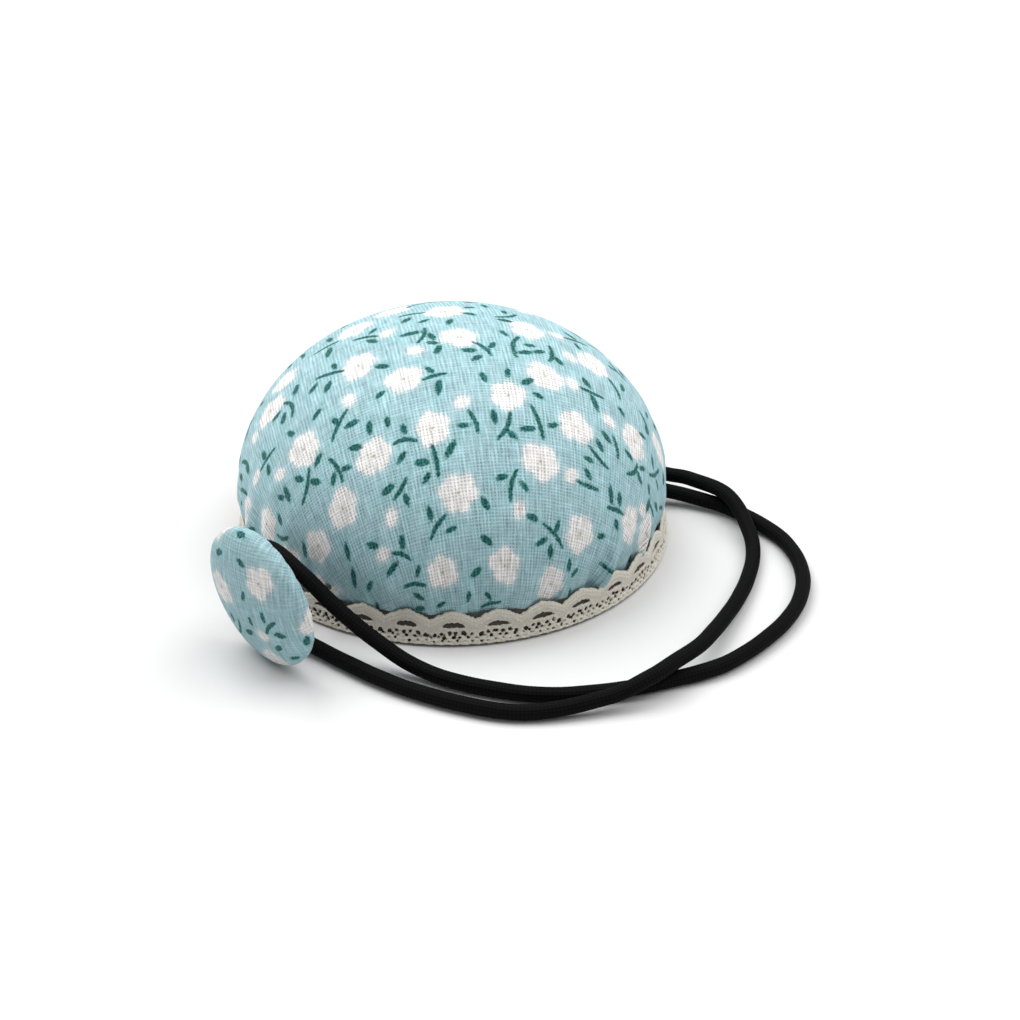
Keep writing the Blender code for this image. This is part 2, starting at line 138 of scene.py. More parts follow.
LEAVES = (
    (-24, -9, 50), (-21.1, -10.5, 70), (-20, -5.5, 110), (-19.7, -19.2, 120), (-16.7, -20.9, 12),
    (-23.3, -15.8, 45), (-11.5, -16.5, 45), (-11.2, -9.9, -20), (-13.5, -22.7, 95), (-10.3, -22.4, 95),
    (-23.7, -25, 50),
    (-16.2, -25.6, -10), (-7.5, -24.2, 110), (-8, -29.2, 55), (-27.8, -6.1, 78), (-29, -16.5, -50),
    (-3.2, -12.4, -50), (-1.9, -7.2, 70), (-3.1, -3.1, -65), (-2.8, -5.2, -15), (-28.3, -26.3, -35),
    (-24.8, -28.5, -30), (-18.2, -28.6, -5), (-21, -29.6, 72), (3.3, -7.3, 5), (4.6, -9.2, 42),
    (7.1, -5.2, 72), (12.7, -5.4, 28), (15.1, -4, 38), (13.5, -2.8, 15), (18.6, -4.7, -45),
    (24, -7.4, -48), (9.8, -11.9, 90), (5.8, -13.8, -62), (13.2, -13, 42), (15.2, -15.5, -18),
    (18.2, -20.6, 30), (7.8, -21.8, -78), (11, -24.6, -30), (2.7, -24, 5), (28.8, -17.4, -30),
    (27.6, -20, -50), (25.7, -23.9, 5), (26, -26.5, -42), (-10.7, -34.1, 30), (-7.4, -36.2, -75),
    (-3.6, -33, 60), (-4.4, -30.4, 0), (-3.2, -38.8, -75), (0.7, -41.4, 22), (-15, -42.5, -20),
    (-8.9, -42.9, 90), (-6.2, -48, 65), (-17.8, -49.2, 40), (-6.7, -52.7, -20), (-17.8, -53.5, 70),
    (-1.7, -54.7, 30), (-6.9, -55.4, 5), (9.7, -32.2, 25), (13.9, -32.9, -40), (7, -36.9, -50),
    (16.2, -37.6, -5), (21.6, -37.5, 85), (21.3, -42, -75), (7.7, -42.7, -25), (26.5, -42.8, -75),
    (28.7, -43.5, 60), (6.1, -48.3, 40), (4.8, -52.8, 85), (9.4, -52.5, -40), (-36.3, -15.7, -70),
    (-35.6, -19.6, 88), (-33.7, -26.8, -48), (-35.6, -30, -82), (-31.3, -38, 80), (-46.4, -24, -50),
    (-32.4, -9.4, 20), (-30.6, -11.6, 76), (31.7, -8.7, -45), (37.5, -9.2, 15), (38.8, -5.7, -80),
    (34.5, -17.1, -15), (38.7, -16.6, 42), (38.4, -19.2, -35), (45.3, -13.8, -12), (42.3, -18.2, -45),
    (47, -17.8, 10), (34.3, -26.7, -72), (35.2, -31.2, -60), (32.3, -35, 25), (40.8, -39.2, -55),
    (48, -30.7, 0), (-13.4, 2.6, 60), (-13.3, -1.4, -40), (-7.6, 4.4, 62), (-4.5, 3, 35),
    (-0.2, 2.2, 75), (3.1, 6.2, -20), (3, 10.2, 28), (9.1, 10, -80), (9.2, 5, 0), (9, -0.5, -50),
    (22.5, 4.4, -65), (21.3, 8.7, -35), (32, -0.5, 90), (39, 0, 88), (30.5, -47.5, -50),
    (-46.2, -10.4, -75), (-37.6, 2.4, -72),
)
LONG_LEAVES = (
    (-1.6, -16.4, 86), (25.8, -11.4, -64), (13.7, -22.8, 20), (-20.9, -42.3, 90), (-21.2, -47, 77),
    (-11.6, -47, 35), (18.9, -41, 38), (-31.8, -27.3, -76), (32, -27.2, -62), (41.8, -11.7, -62),
    (-21.9, 7.3, -72), (-21.4, 0.6, 86), (-27.6, 8, -72), (-42.6, -12.6, -74), (43.3, -21, 78),
    (-30.9, 8.4, -72), (5.6, 12.8, -75), (-6.7, -1.5, 12), (0.5, -28.3, 62),
)
BUTTON_PRINT = 0.87  # size of the button's motifs beside the cover's
BUTTON_FLOWERS = ((4.7, 6.5), (-6, 0.7), (4.3, -9.6), (-8.3, 11), (14.8, 0.9), (-9, -9))
BUTTON_BUDS = ((4, -3.8), (13, -8))
BUTTON_STEMS = ((6.3, -1.2, 52, 4.6, 0.3), (-3.2, -5.8, 65, 4.6, -0.5))
BUTTON_LEAVES = (
    (0.4, 8.3, -15), (-6, 7.2, 30), (0.7, 2.5, 75), (1.5, -2, -75), (0.2, -5, 30), (6.8, -5.2, 45),
    (9.1, -6.8, 25), (-1.5, 12.2, 0), (12.3, -2.6, 85), (-4.6, -4.6, 105), (5, 0.4, 100), (8, -2, 15),
)
STEM_HALF_WIDTH = 0.42
LEAF_HALF = (1.25, 0.58)  # half of its length and of its width
LONG_LEAF_HALF = (1.75, 0.60)
BUD_HALF = (1.4, 1.1)
SPRIG_STEM = (4.8, 0.35)  # mm, length and bend, where a whole sprig is thrown
SPRIG_LEAVES = ((0.3, 1.85, 50), (-0.2, -1.75, -35))  # along and across its stem, and turned from it

# Lace
LACE_LOW, LACE_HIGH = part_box("lace_trim")
LACE_RADIUS = LACE_HIGH.x / MM - 0.3  # mm, middle of its thickness
LACE_BOTTOM = LACE_LOW.z / MM
LACE_PEAK = LACE_HIGH.z / MM
LACE_VALLEY = 4.7  # mm, height of its edge between two scallops
LACE_CELL = 0.15  # mm, height of a row of its grid
LACE_COLUMNS = 48  # of the grid in each scallop
LACE_LEAN = 0.75  # mm that its upper edge leans in to the cover
SCALLOPS = 31
LACE_PHASE = 0.35  # of a scallop, that the pattern is turned round the foot
HOLES_ACROSS = 6  # small holes of a row in each scallop
HOLE_STEP = 1.24  # mm between them

# Dark band behind the lace, which also stands in for the shade in the gap there (painted shade)
BAND_FRONT = 272  # degrees, where its upper edge is highest
BAND_THICKNESS = 0.25

# Button: its frame has X level, Y upright and Z out of its face
BUTTON_CENTRE = Vector(JOINTS["button_spin"]["pos_m"])
BUTTON_RADIUS = 12.1
BUTTON_CROWN = 3.6
BUTTON_CELLS = 170
SHANK_EYE = Vector(JOINTS["button_nod"]["pos_m"])
THREAD_ANCHOR = Vector(JOINTS["thread_swing"]["pos_m"])
THREAD_ROOT = 2.4 * MM  # from the swing axis in to the thread's start, just inside the cover


# ---- helpers

def in_scene(name, data):
    thing = bpy.data.objects.new(name, data)
    bpy.context.scene.collection.objects.link(thing)
    return thing


def add_piece(name, data, mat, body, replaced=()):
    """A piece that rides on a CAD body, with its material, hiding the CAD nodes it stands for."""
    piece = in_scene(name, data)
    data.materials.append(mat)
    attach(piece, body)
    if replaced:
        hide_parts(*replaced)
    return piece


def dress(node, mat):
    """Gives a CAD node that stays its material."""
    materials = frame["nodes"][node].data.materials
    materials.clear()
    materials.append(mat)


def mesh_from(name, places, faces):
    mesh = bpy.data.meshes.new(name)
    mesh.from_pydata(places.tolist(), [], faces if isinstance(faces, list) else faces.tolist())
    mesh.shade_smooth()
    return mesh


def store(mesh, name, values):
    """Three numbers for each vertex, for the material to read."""
    attribute = mesh.attributes.new(name, "FLOAT_VECTOR", "POINT")
    attribute.data.foreach_set("vector", np.asarray(values, np.float32).ravel())


def smooth_step(value, low, high):
    share = np.clip((value - low) / (high - low), 0, 1)
    return share * share * (3 - 2 * share)


def within_half_turn(degrees):
    """The same direction, from -180 to 180 degrees."""
    return (degrees + 180) % 360 - 180


def polar(reach, angle, height):
    """Places at a reach from the Z axis, an angle round it and a height."""
    return np.stack(np.broadcast_arrays(reach * np.cos(angle), reach * np.sin(angle), height), axis=-1)


def uneven_wave(rng, angle, counts, low, high):
    """Waves of these counts in a turn added up, each from low to high in size."""
    return sum(rng.uniform(low, high) * np.sin(k * angle + rng.uniform(0, 6.3)) for k in counts)


def around(turns):
    return np.arange(turns) * 2 * math.pi / turns


def travel_along(points):
    """Length of a path up to each of its points."""
    return np.concatenate([[0], np.cumsum(np.linalg.norm(np.diff(points, axis=0), axis=1))])


def smooth_points(route, step):
    """Points at equal spacing along a smooth curve through the route's points."""
    knots = [np.array(p, float) for p in route]
    knots = [knots[0] * 2 - knots[1], *knots, knots[-1] * 2 - knots[-2]]
    fine = []
    for before, start, end, after in zip(knots, knots[1:], knots[2:], knots[3:]):
        for t in np.arange(20) / 20:
            fine.append(0.5 * (
                2 * start + (end - before) * t
                + (2 * before - 5 * start + 4 * end - after) * t ** 2
                + (3 * start - before - 3 * end + after) * t ** 3))
    fine = np.array(fine + [knots[-2]])
    travel = travel_along(fine)
    even = np.linspace(0, travel[-1], max(2, round(travel[-1] / step)) + 1)
    return np.stack([np.interp(even, travel, fine[:, k]) for k in range(3)], axis=1)


def carried_frames(points):
    """Two directions across a path at each of its points, turned along it without twist."""
    tangents = np.gradient(points, axis=0)
    tangents /= np.linalg.norm(tangents, axis=1, keepdims=True)
    side = np.cross(tangents[0], (0.0, 0.0, 1.0))
    sides = []
    for tangent in tangents:
        side = side - tangent * (side @ tangent)
        side /= np.linalg.norm(side)
        sides.append(side)
    sides = np.array(sides)
    return sides, np.cross(tangents, sides)


def ring_faces(turns, rings, closed=False):
    """Faces from each ring of vertices to the next one; closed joins the last ring to the first."""
    step = np.arange(turns)
    after = (step + 1) % turns
    faces = []
    for ring in range(rings if closed else rings - 1):
        start, end = ring * turns, (ring + 1) % rings * turns
        faces.append(np.stack([start + step, start + after, end + after, end + step], axis=1))
    return np.concatenate(faces)


def tube_mesh(name, points, radius, sides, relief=None):
    """A capped tube along points; relief(angle, travel) is added to the radius."""
    side, other = carried_frames(points)
    angle, along = np.meshgrid(around(sides), travel_along(points))
    reach = np.full(angle.shape, float(radius))
    if relief is not None:
        reach = reach + relief(angle, along)
    rings = (points[:, None] + side[:, None] * (reach * np.cos(angle))[..., None]
             + other[:, None] * (reach * np.sin(angle))[..., None])
    last = (len(points) - 1) * sides
    caps = [list(range(sides))[::-1], list(range(last, last + sides))]
    mesh = mesh_from(name, rings.reshape(-1, 3), ring_faces(sides, len(points)).tolist() + caps)
    store(mesh, "along", np.stack([along / MM, angle, reach / MM], axis=-1).reshape(-1, 3))
    return mesh


def disc_grid(cells):
    """A square grid squeezed into a disc: each vertex's share of the radius, its angle, and the faces."""
    line = np.linspace(-1, 1, cells + 1)
    x, y = np.meshgrid(line, line)
    wide = np.abs(x) >= np.abs(y)
    reach = np.where(wide, x, y)
    safe = np.where(reach == 0, 1, reach)
    turn = np.where(wide, math.pi / 4 * y / safe, math.pi / 2 - math.pi / 4 * x / safe)
    share = np.abs(reach)
    angle = np.arctan2(reach * np.sin(turn), reach * np.cos(turn))
    index = np.arange((cells + 1) ** 2).reshape(cells + 1, cells + 1)
    faces = np.stack([index[:-1, :-1], index[:-1, 1:], index[1:, 1:], index[1:, :-1]], axis=-1)
    return share.ravel(), angle.ravel(), faces.reshape(-1, 4)


def widened(values, cells, finer):
    """Values on a square grid of cells, smoothly read on a finer grid."""
    def rows(count, wanted):
        place = np.linspace(0, count, wanted + 1)
        start = np.clip(np.floor(place).astype(int), 0, count - 1)
        t = place - start
        weights = (
            -0.5 * t + t ** 2 - 0.5 * t ** 3, 1 - 2.5 * t ** 2 + 1.5 * t ** 3,
            0.5 * t + 2 * t ** 2 - 1.5 * t ** 3, -0.5 * t ** 2 + 0.5 * t ** 3)
        table = np.zeros((wanted + 1, count + 1))
        for shift, weight in zip((-1, 0, 1, 2), weights):
            np.add.at(table, (np.arange(wanted + 1), np.clip(start + shift, 0, count)), weight)
        return table
    across = rows(cells, finer)
    square = values.reshape(cells + 1, cells + 1, -1)
    return np.einsum("ai,ijk,bj->abk", across, square, across, optimize=True).reshape(-1, square.shape[2])


# ---- materials

class Shader:
    """Writes one material's node tree."""

    def __init__(self, name, roughness=0.8, metallic=0.0):
        self.mat = bpy.data.materials.new(name)
        self.mat.use_nodes = True
        self.tree = self.mat.node_tree
        self.surface = self.tree.nodes["Principled BSDF"]
        self.surface.inputs["Roughness"].default_value = roughness
        self.surface.inputs["Metallic"].default_value = metallic

    def feed(self, socket, value):
        if isinstance(value, bpy.types.NodeSocket):
            self.tree.links.new(value, socket)
        elif socket.type == "RGBA":
            socket.default_value = (*value, 1)
        else:
            socket.default_value = value

    def math(self, operation, *values):
        node = self.tree.nodes.new("ShaderNodeMath")
        node.operation = operation
        for socket, value in zip(node.inputs, values):
            self.feed(socket, value)
        return node.outputs[0]

    def times(self, first, second):
        return self.math("MULTIPLY", first, second)

    def times_plus(self, first, second, added):
        return self.math("MULTIPLY_ADD", first, second, added)

    def mix(self, share, first, second):
        node = self.tree.nodes.new("ShaderNodeMix")
        node.data_type = "RGBA"
        self.feed(node.inputs[0], share)
        self.feed(node.inputs[6], first)
        self.feed(node.inputs[7], second)
        return node.outputs[2]

    def shade(self, colour, amount):
        """A colour times a number."""
        node = self.tree.nodes.new("ShaderNodeVectorMath")
        node.operation = "SCALE"
        if isinstance(colour, bpy.types.NodeSocket):
            self.tree.links.new(colour, node.inputs[0])
        else:
            node.inputs[0].default_value = colour
        self.feed(node.inputs["Scale"], amount)
        return node.outputs[0]

    def ramp(self, value, low, high, at_low=0.0, at_high=1.0):
        node = self.tree.nodes.new("ShaderNodeMapRange")
        node.interpolation_type = "SMOOTHSTEP"
        for socket, number in zip(node.inputs, (value, low, high, at_low, at_high)):
            self.feed(socket, number)
        return node.outputs[0]

    def noise(self, place, scale, detail=2.0):
        node = self.tree.nodes.new("ShaderNodeTexNoise")
        self.feed(node.inputs["Vector"], place)
        node.inputs["Scale"].default_value = scale
        node.inputs["Detail"].default_value = detail
        return node.outputs[0]

    def attribute(self, name):
        node = self.tree.nodes.new("ShaderNodeAttribute")
        node.attribute_name = name
        return node.outputs["Vector"]

    def object_place(self):
        """The place in millimetres."""
        node = self.tree.nodes.new("ShaderNodeTexCoord")
        return self.shade(node.outputs["Object"], 1 / MM)

    def split(self, vector):
        node = self.tree.nodes.new("ShaderNodeSeparateXYZ")
        self.feed(node.inputs[0], vector)
        return node.outputs[0], node.outputs[1], node.outputs[2]

    def join(self, x, y, z=0.0):
        node = self.tree.nodes.new("ShaderNodeCombineXYZ")
        for socket, value in zip(node.inputs, (x, y, z)):
            self.feed(socket, value)
        return node.outputs[0]

    def done(self, colour, height=None, depth_mm=0.05, roughness=None):
        self.feed(self.surface.inputs["Base Color"], colour)
        if roughness is not None:
            self.feed(self.surface.inputs["Roughness"], roughness)
        if height is not None:
            node = self.tree.nodes.new("ShaderNodeBump")
            node.inputs["Distance"].default_value = depth_mm * MM
            self.feed(node.inputs["Height"], height)
            self.feed(self.surface.inputs["Normal"], node.outputs[0])
        return self.mat


def sheen(shader, weight, tint=(1.0, 1.0, 1.0)):
    shader.surface.inputs["Sheen Weight"].default_value = weight
    shader.surface.inputs["Sheen Roughness"].default_value = 0.5
    shader.surface.inputs["Sheen Tint"].default_value = (*tint, 1)
    shader.surface.inputs["Specular IOR Level"].default_value = 0.25


def weave(shader, cloth, pitch):
    """A plain weave on cloth places in mm: thread height from 0 to 1, and each thread's own tone."""
    x, y, _ = shader.split(cloth)
    u = shader.times_plus(y, THREADS_LEAN, x)
    v = shader.times_plus(x, -THREADS_LEAN, y)
    fast, slow, slower, own = 1.6, 0.35, 0.22, 1.3 / pitch

    def streaks(x, x_scale, y, y_scale, z=0.0):
        return shader.noise(shader.join(shader.times(x, x_scale), shader.times(y, y_scale), z), 1)

    wander_u = streaks(u, fast, v, slow)
    wander_v = streaks(u, slow, v, fast, 7)
    warp_u = shader.times_plus(wander_u, 0.55, u)
    weft_v = shader.times_plus(wander_v, 0.55, v)
    warp = shader.math("COSINE", shader.times(warp_u, math.pi / pitch / WARP_WIDER))
    weft = shader.math("COSINE", shader.times(weft_v, math.pi / pitch))
    over = shader.times(warp, weft)
    warp_height = shader.times(shader.math("ABSOLUTE", warp), shader.times_plus(over, 0.2, 0.8))
    weft_height = shader.times(shader.math("ABSOLUTE", weft), shader.times_plus(over, -0.2, 0.7))
    height = shader.math("MAXIMUM", warp_height, weft_height)
    warp_tone = streaks(warp_u, own, v, slower)
    weft_tone = streaks(u, slower, weft_v, own, 3)
    tone = shader.times_plus(warp_tone, 1.3, shader.times(weft_tone, 0.7))
    return height, tone


def printed_cotton(name, strength=1.0, painted_gap_shade=0.28):
    """Pale blue plain weave, printed with white flowers and green sprigs.

    strength scales its whole colour; below 1 it is painted shade, as on the button's shaded copy. between is
    how light the painted shade in the gaps of the weave leaves them.
    """
    shader = Shader(name, roughness=0.88)
    sheen(shader, 0.12, (0.85, 0.95, 1.0))
    cloth = shader.attribute("cloth")
    height, tone = weave(shader, cloth, THREAD_PITCH)
    fuzz = shader.noise(cloth, 2.2, 3)
    white, green, heart = shader.split(shader.attribute("print"))

    ragged = shader.times_plus(fuzz, 1.1, -0.55)
    ragged = shader.times_plus(height, -0.25, shader.math("ADD", ragged, 0.16))
    is_white = shader.ramp(shader.math("ADD", white, ragged), -0.32, 0.32, 1, 0)
    is_green = shader.ramp(shader.times_plus(ragged, 0.55, green), -0.16, 0.16, 1, 0)

    blue = shader.mix(shader.noise(cloth, 0.11, 2), (0.332, 0.521, 0.567), (0.392, 0.588, 0.637))
    blue = shader.mix(shader.ramp(green, 0.0, 1.5, 0.42, 0.0), blue, (0.26, 0.53, 0.55))
    blue = shader.mix(shader.ramp(white, 0.0, 1.3, 0.24, 0.0), blue, (0.76, 0.78, 0.79))

    petal = shader.mix(shader.noise(cloth, 0.5, 2), (0.80, 0.78, 0.77), (0.88, 0.86, 0.84))
    warm = shader.ramp(shader.times_plus(fuzz, 1.2, heart), 0.7, 1.9)
    cream = shader.mix(warm, (0.79, 0.75, 0.69), petal)
    cream = shader.mix(shader.ramp(heart, 0.18, 0.42), (0.46, 0.43, 0.40), cream)
    cream = shader.mix(shader.ramp(height, 0.25, 0.75, 0.15, 0.0), cream, blue)

    inked = shader.ramp(shader.times_plus(height, 0.4, fuzz), 0.5, 1.05)
    leaf = shader.mix(inked, (0.002, 0.045, 0.045), (0.026, 0.200, 0.178))
    colour = shader.mix(is_green, shader.mix(is_white, blue, cream), leaf)

    # Painted shade: the gaps of the weave are darkened and the thread tops lightened a little, and strength
    # below 1 darkens the whole cloth.
    light = shader.times_plus(tone, 0.8, 0.21)
    gaps = shader.times_plus(shader.noise(cloth, 0.45, 2), 0.8, painted_gap_shade)
    light = shader.times(light, shader.ramp(height, 0.2, 0.85, gaps, 1.07))
    return shader.done(shader.shade(colour, shader.times(light, strength)), height, 0.09)


def lace_cotton():
    shader = Shader("lace_cotton", roughness=0.9)
    sheen(shader, 0.2)
    place = shader.object_place()
    yarn = shader.noise(place, 4.5, 3)
    fibre = shader.noise(place, 14, 2)
    stain = shader.noise(place, 0.25, 2)
    relief, _, _ = shader.split(shader.attribute("relief"))
    colour = shader.mix(yarn, (0.68, 0.64, 0.55), (0.94, 0.91, 0.81))
    colour = shader.mix(shader.times(stain, 0.32), colour, (0.70, 0.63, 0.50))
    # Painted shade and highlight: darker where the lace's relief is low, lighter where it is raised.
    colour = shader.shade(colour, shader.ramp(relief, -0.03, 0.12, 0.80, 1.08))
    colour = shader.shade(colour, shader.ramp(fibre, 0.3, 0.7, 0.84, 1.1))
    height = shader.times_plus(fibre, 0.4, yarn)
    return shader.done(colour, height, 0.10)


def braided_elastic():
    """A black braid; the place along the cord is in mm and the angle round it in radians."""
    shader = Shader("braided_elastic", roughness=0.7)
    shader.surface.inputs["Specular IOR Level"].default_value = 0.06
    along, angle, _ = shader.split(shader.attribute("along"))
    turn = shader.times(angle, BRAID_PAIRS)
    advance = shader.times(along, BRAID_TURN)
    left = shader.math("SINE", shader.math("ADD", turn, advance))
    right = shader.math("SINE", shader.math("SUBTRACT", turn, advance))
    braid = shader.times_plus(shader.times(left, right), 0.5, 0.5)
    fibre = shader.noise(shader.join(shader.times(along, 3), shader.times(angle, 4)), 2.5, 3)
    # Painted shade: the colour follows the braid's relief, lighter on the raised strands and darker in the
    # grooves.
    colour = shader.mix(braid, (0.0012, 0.0012, 0.0014), (0.0045, 0.0045, 0.005))
    colour = shader.mix(shader.ramp(fibre, 0.55, 0.8, 0, 0.4), colour, (0.010, 0.010, 0.011))
    return shader.done(colour, shader.times_plus(fibre, 0.5, braid), 0.06)


def twisted_thread(name, dark, light):
    """Sewing thread; its twist runs round the strand."""
    twist = 9.0  # radians that it turns in a mm
    shader = Shader(name, roughness=0.6)
    sheen(shader, 0.1)
    along, angle, _ = shader.split(shader.attribute("along"))
    spiral = shader.math("SINE", shader.times_plus(along, twist, shader.times(angle, 2)))
    # Painted shade: lighter on the twist's ridges, darker in its grooves.
    colour = shader.mix(shader.times_plus(spiral, 0.5, 0.5), dark, light)
    return shader.done(colour, spiral, 0.03)


def fuzzy(name, dark, light, scale, depth_mm=0.12, roughness=0.95):
    """Felt, fibre, card and thread: a mottled matte surface."""
    shader = Shader(name, roughness=roughness)
    sheen(shader, 0.15)
    place = shader.object_place()
    tuft = shader.noise(place, scale, 4)
    return shader.done(shader.mix(tuft, dark, light), tuft, depth_mm)


def woven_tape():
    shader = Shader("woven_tape", roughness=0.85)
    height, tone = weave(shader, shader.object_place(), 0.3)
    light = shader.times_plus(tone, 0.3, 0.7)
    return shader.done(shader.shade((0.70, 0.67, 0.60), light), height, 0.05)


def pressed_metal(name, colour, roughness, scale):
    """Metal with fine rolling marks and slight smudges."""
    shader = Shader(name, roughness=roughness, metallic=1.0)
    place = shader.object_place()
    x, y, z = shader.split(place)
    marks = shader.noise(shader.join(shader.times(x, 6), y, shader.times(z, 6)), scale, 3)
    rough = shader.times_plus(shader.noise(place, 0.5, 2), 0.25, roughness - 0.1)
    return shader.done(shader.shade(colour, shader.times_plus(marks, 0.2, 0.9)), marks, 0.01, rough)


# ---- camera, light and floor

def make_camera():
    data = bpy.data.cameras.new("camera")
    data.sensor_width = 36
    data.lens = CAMERA_LENS
    data.clip_start = 0.02
    data.clip_end = 20
    camera = in_scene("camera", data)
    back = Vector((0, -math.cos(CAMERA_ELEVATION), math.sin(CAMERA_ELEVATION)))
    camera.location = CAMERA_TARGET + back * CAMERA_DISTANCE
    camera.rotation_euler = back.to_track_quat("Z", "Y").to_euler()
    bpy.context.scene.camera = camera


def sun_light(name, direction, strength, spread):
    """An even light from a direction; spread is how wide its source looks, in degrees."""
    data = bpy.data.lights.new(name, "SUN")
    data.energy = strength
    data.angle = math.radians(spread)
    light = in_scene(name, data)
    light.rotation_euler = Vector(direction).to_track_quat("Z", "Y").to_euler()


def make_studio():
    """A pale floor, an even sky and two wide lights."""
    scene = bpy.context.scene
    scene.view_settings.view_transform = "Standard"
    world = bpy.data.worlds.new("studio")
    world.use_nodes = True
    sky = world.node_tree.nodes["Background"].inputs
    sky["Color"].default_value = (1, 1, 1, 1)
    sky["Strength"].default_value = 0.33
    scene.world = world
    sun_light("left_light", (-0.42, 0.36, 0.84), 2.6, 50)
    sun_light("right_light", (0.50, 0.14, 0.85), 1.95, 60)
    mesh = bpy.data.meshes.new("floor")
    bm = bmesh.new()
    bmesh.ops.create_grid(bm, x_segments=2, y_segments=2, size=3)
    bm.to_mesh(mesh)
    bm.free()
    floor = in_scene("floor", mesh)
    floor.location.z = -0.05 * MM
    shader = Shader("floor", roughness=0.9)
    shader.surface.inputs["Specular IOR Level"].default_value = 0.1
    mesh.materials.append(shader.done((0.72, 0.72, 0.72)))


# ---- elastic

def make_strap():
    """The round elastic, with its braided jacket."""
    route, coarse = smooth_points(CORD_ROUTE, 0.24) * MM, smooth_points(CORD_ROUTE, 2.0) * MM
    for points in (route, coarse):
        points[:, 2] = np.maximum(points[:, 2], STRAP_DIAMETER / 2)
    braid_depth = 0.022

    def braid(angle, along):
        turn = BRAID_PAIRS * angle
        advance = along / MM * BRAID_TURN
        wobble = 0.012 * np.sin(along / MM * 0.9 + angle) + 0.01 * np.sin(along / MM * 0.37)
        return (braid_depth * np.sin(turn + advance) * np.sin(turn - advance) + wobble) * MM

    mesh = tube_mesh("elastic_cord", route, STRAP_DIAMETER / 2 - 0.02 * MM, sides=48, relief=braid)
    cord = add_piece("elastic_cord", mesh, braided_elastic(), "cushion", ["elastic_strap"])
    [tuple(p) for p in coarse]


# ---- print

def leaf_distance(x, y, half):
    long, wide = half
    return (np.hypot(x / long, y / wide) - 1) * wide


def turned_to(du, dv, heading):
    c, s = math.cos(math.radians(heading)), math.sin(math.radians(heading))
    return du * c + dv * s, dv * c - du * s


def stem_distance(x, y, length, bend):
    """A thin curved line that tapers to its ends."""
    half = length / 2
    share = np.clip(x / half, -1, 1)
    middle = bend * (1 - share ** 2)
    slope = -2 * bend * share / half
    across = (y - middle) / np.sqrt(1 + slope ** 2)
    beyond = np.maximum(np.abs(x) - half, 0)
    return np.hypot(across, beyond) - STEM_HALF_WIDTH * (1 - 0.3 * share ** 2)


def print_on(u, v, flowers, buds, stems, leaves, long_leaves=()):
    """Signed distances in mm from cloth places to the white ink and the green, and to the nearest heart."""
    far, reach = 6.0, 7.0
    inks = np.full((len(u), 3), far)
    white, green, heart = 0, 1, 2

    def nearby(place, heading=0.0):
        du, dv = u - place[0], v - place[1]
        close = (np.abs(du) < reach) & (np.abs(dv) < reach)
        return close, *turned_to(du[close], dv[close], heading)

    def lower(column, close, values):
        inks[close, column] = np.minimum(inks[close, column], values)

    for number, place in enumerate(flowers):
        close, x, y = nearby(place)
        angle = np.arctan2(y, x)
        petals = 5 + number % 2
        edge = 0.81 + 0.22 * np.abs(np.cos(petals * angle / 2 + number)) ** 0.7
        edge += 0.07 * np.sin(2 * angle + number * 1.7) + 0.05 * np.sin(3 * angle + number * 2.3)
        size = FLOWER_SIZE * (1 + 0.06 * math.sin(number * 2.1))
        lower(white, close, np.hypot(x, y) - size * edge)
        lower(heart, close, np.hypot(x, y))
    for number, place in enumerate(buds):
        close, x, y = nearby(place, 50 * number)
        lower(white, close, leaf_distance(x, y, BUD_HALF))
    for *place, heading, length, bend in stems:
        close, x, y = nearby(place, heading)
        lower(green, close, stem_distance(x, y, length, bend))
    for group, half in ((leaves, LEAF_HALF), (long_leaves, LONG_LEAF_HALF)):
        for number, (*place, heading) in enumerate(group):
            close, x, y = nearby(place, heading)
            scale = 1 + 0.12 * math.sin(number * 1.9)
            lower(green, close, leaf_distance(x / scale, y / scale, half) * scale)
    return inks


def unseen_print(rng, radius):
    """Motifs for the rest of the cloth, thrown at random but never closer than the print has them."""
    flowers, buds, stems, leaves = list(FLOWERS), list(BUDS), list(STEMS), list(LEAVES)

    def free(u, v, gap_flower, gap_other):
        placed_already = v < 15 - u * u / 87  # in front of a curve behind the crown
        if placed_already or math.hypot(u, v) > radius:
            return False
        if any(math.hypot(u - p[0], v - p[1]) < gap_flower for p in flowers):
            return False
        return all(math.hypot(u - p[0], v - p[1]) > gap_other for p in [*buds, *stems, *leaves, *LONG_LEAVES])

    def throw(count, gap_flower, gap_other):
        for _ in range(count):
            u, v = rng.uniform(-radius, radius, 2)
            if free(u, v, gap_flower, gap_other):
                yield u, v

    for place in throw(1500, 10.0, 5.2):
        flowers.append(place)
    for place in throw(350, 6.2, 6.0):
        buds.append(place)
    for u, v in throw(1600, 6.0, 5.0):
        heading = rng.uniform(0, 360)
        stems.append((u, v, heading, *SPRIG_STEM))
        for along, across, turn in SPRIG_LEAVES:
            du, dv = turned_to(along, across, -heading)
            leaves.append((u + du, v + dv, heading + turn))
    for place in throw(900, 4.9, 3.3):
        leaves.append((*place, rng.uniform(0, 180)))
    return flowers, buds, stems, leaves, LONG_LEAVES


# ---- cover

